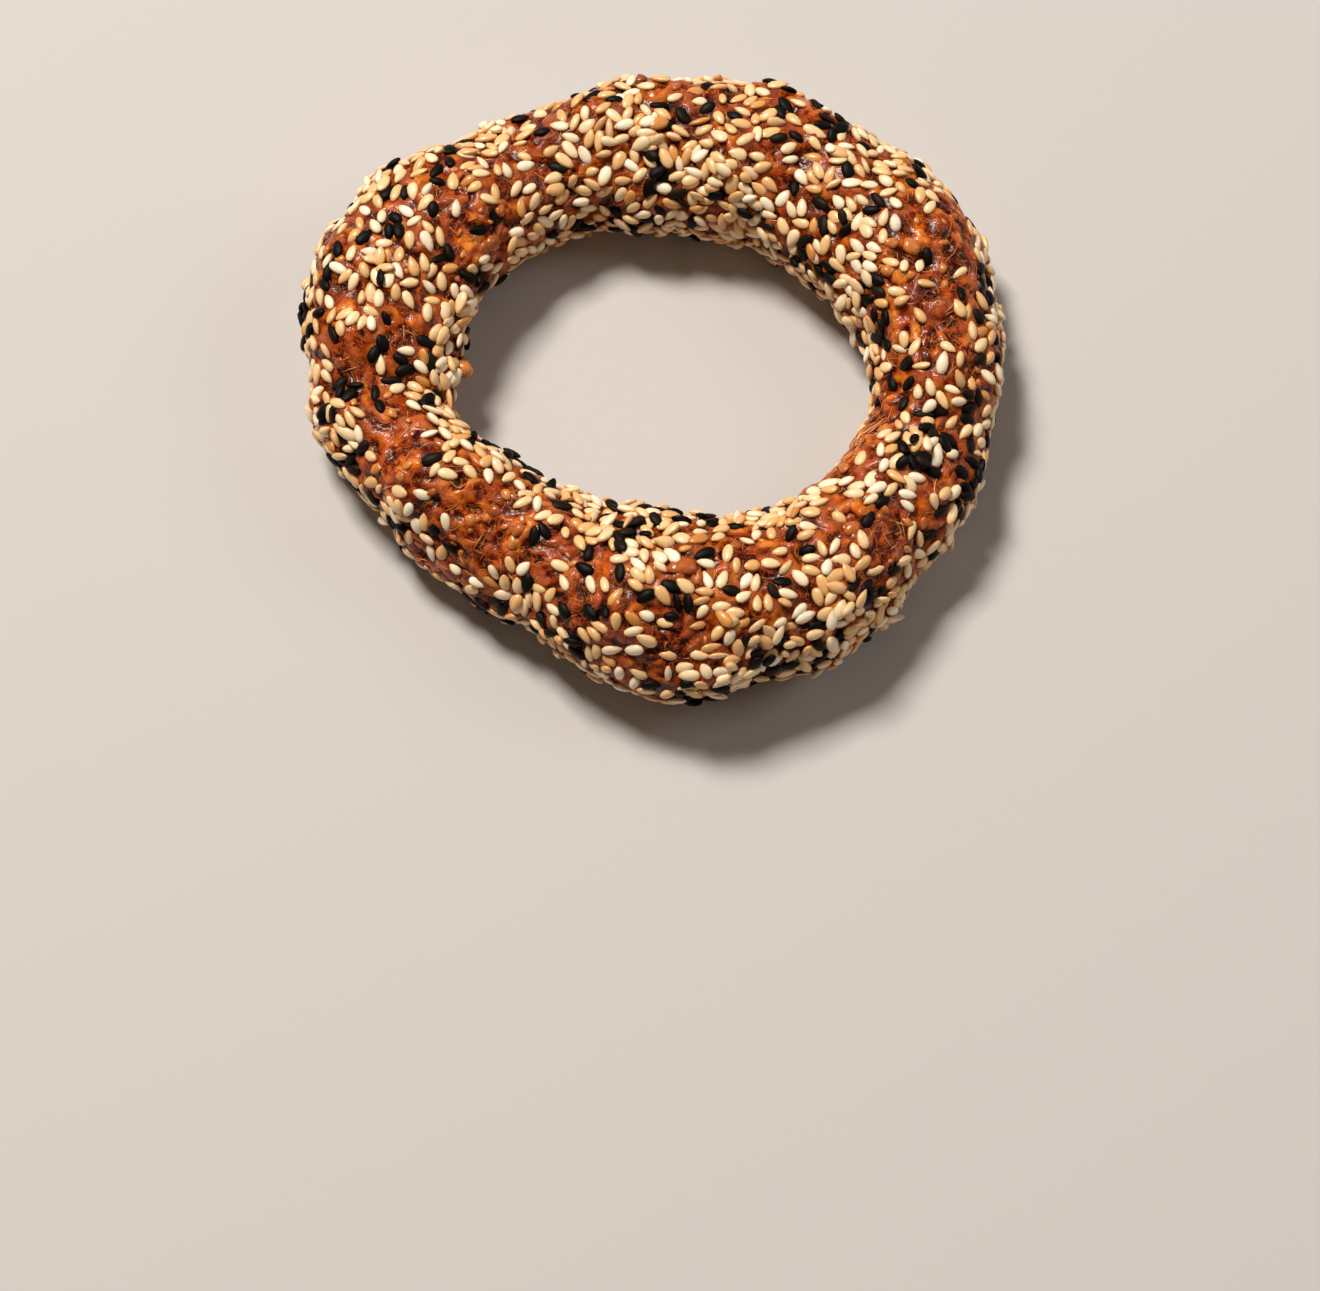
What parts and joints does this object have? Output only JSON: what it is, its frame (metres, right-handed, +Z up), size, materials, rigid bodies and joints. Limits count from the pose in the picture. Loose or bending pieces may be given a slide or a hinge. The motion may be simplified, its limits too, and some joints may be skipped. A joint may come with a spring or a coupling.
{
  "type": "jerusalem bagel",
  "caption": "Ring-shaped baked bread, uneven and hand-rolled, coated all round in pale and black sesame seeds, with a flat underside to lie on.",
  "frame": {"origin": "middle of the bounding box's underside, on the surface that the bagel lies on", "axes": "+Z up, square to the ring; +X along the ring's longest side; +Y away from the thick, low side of the ring"},
  "size_m": [0.1073, 0.1034, 0.0236],
  "materials": {
    "seeded_crust": "glossy red-brown baked crust under a coat of pale gold and black sesame seeds"
  },
  "bodies": {
    "root": {"bagel": "seeded_crust"}
  },
  "joints": []
}
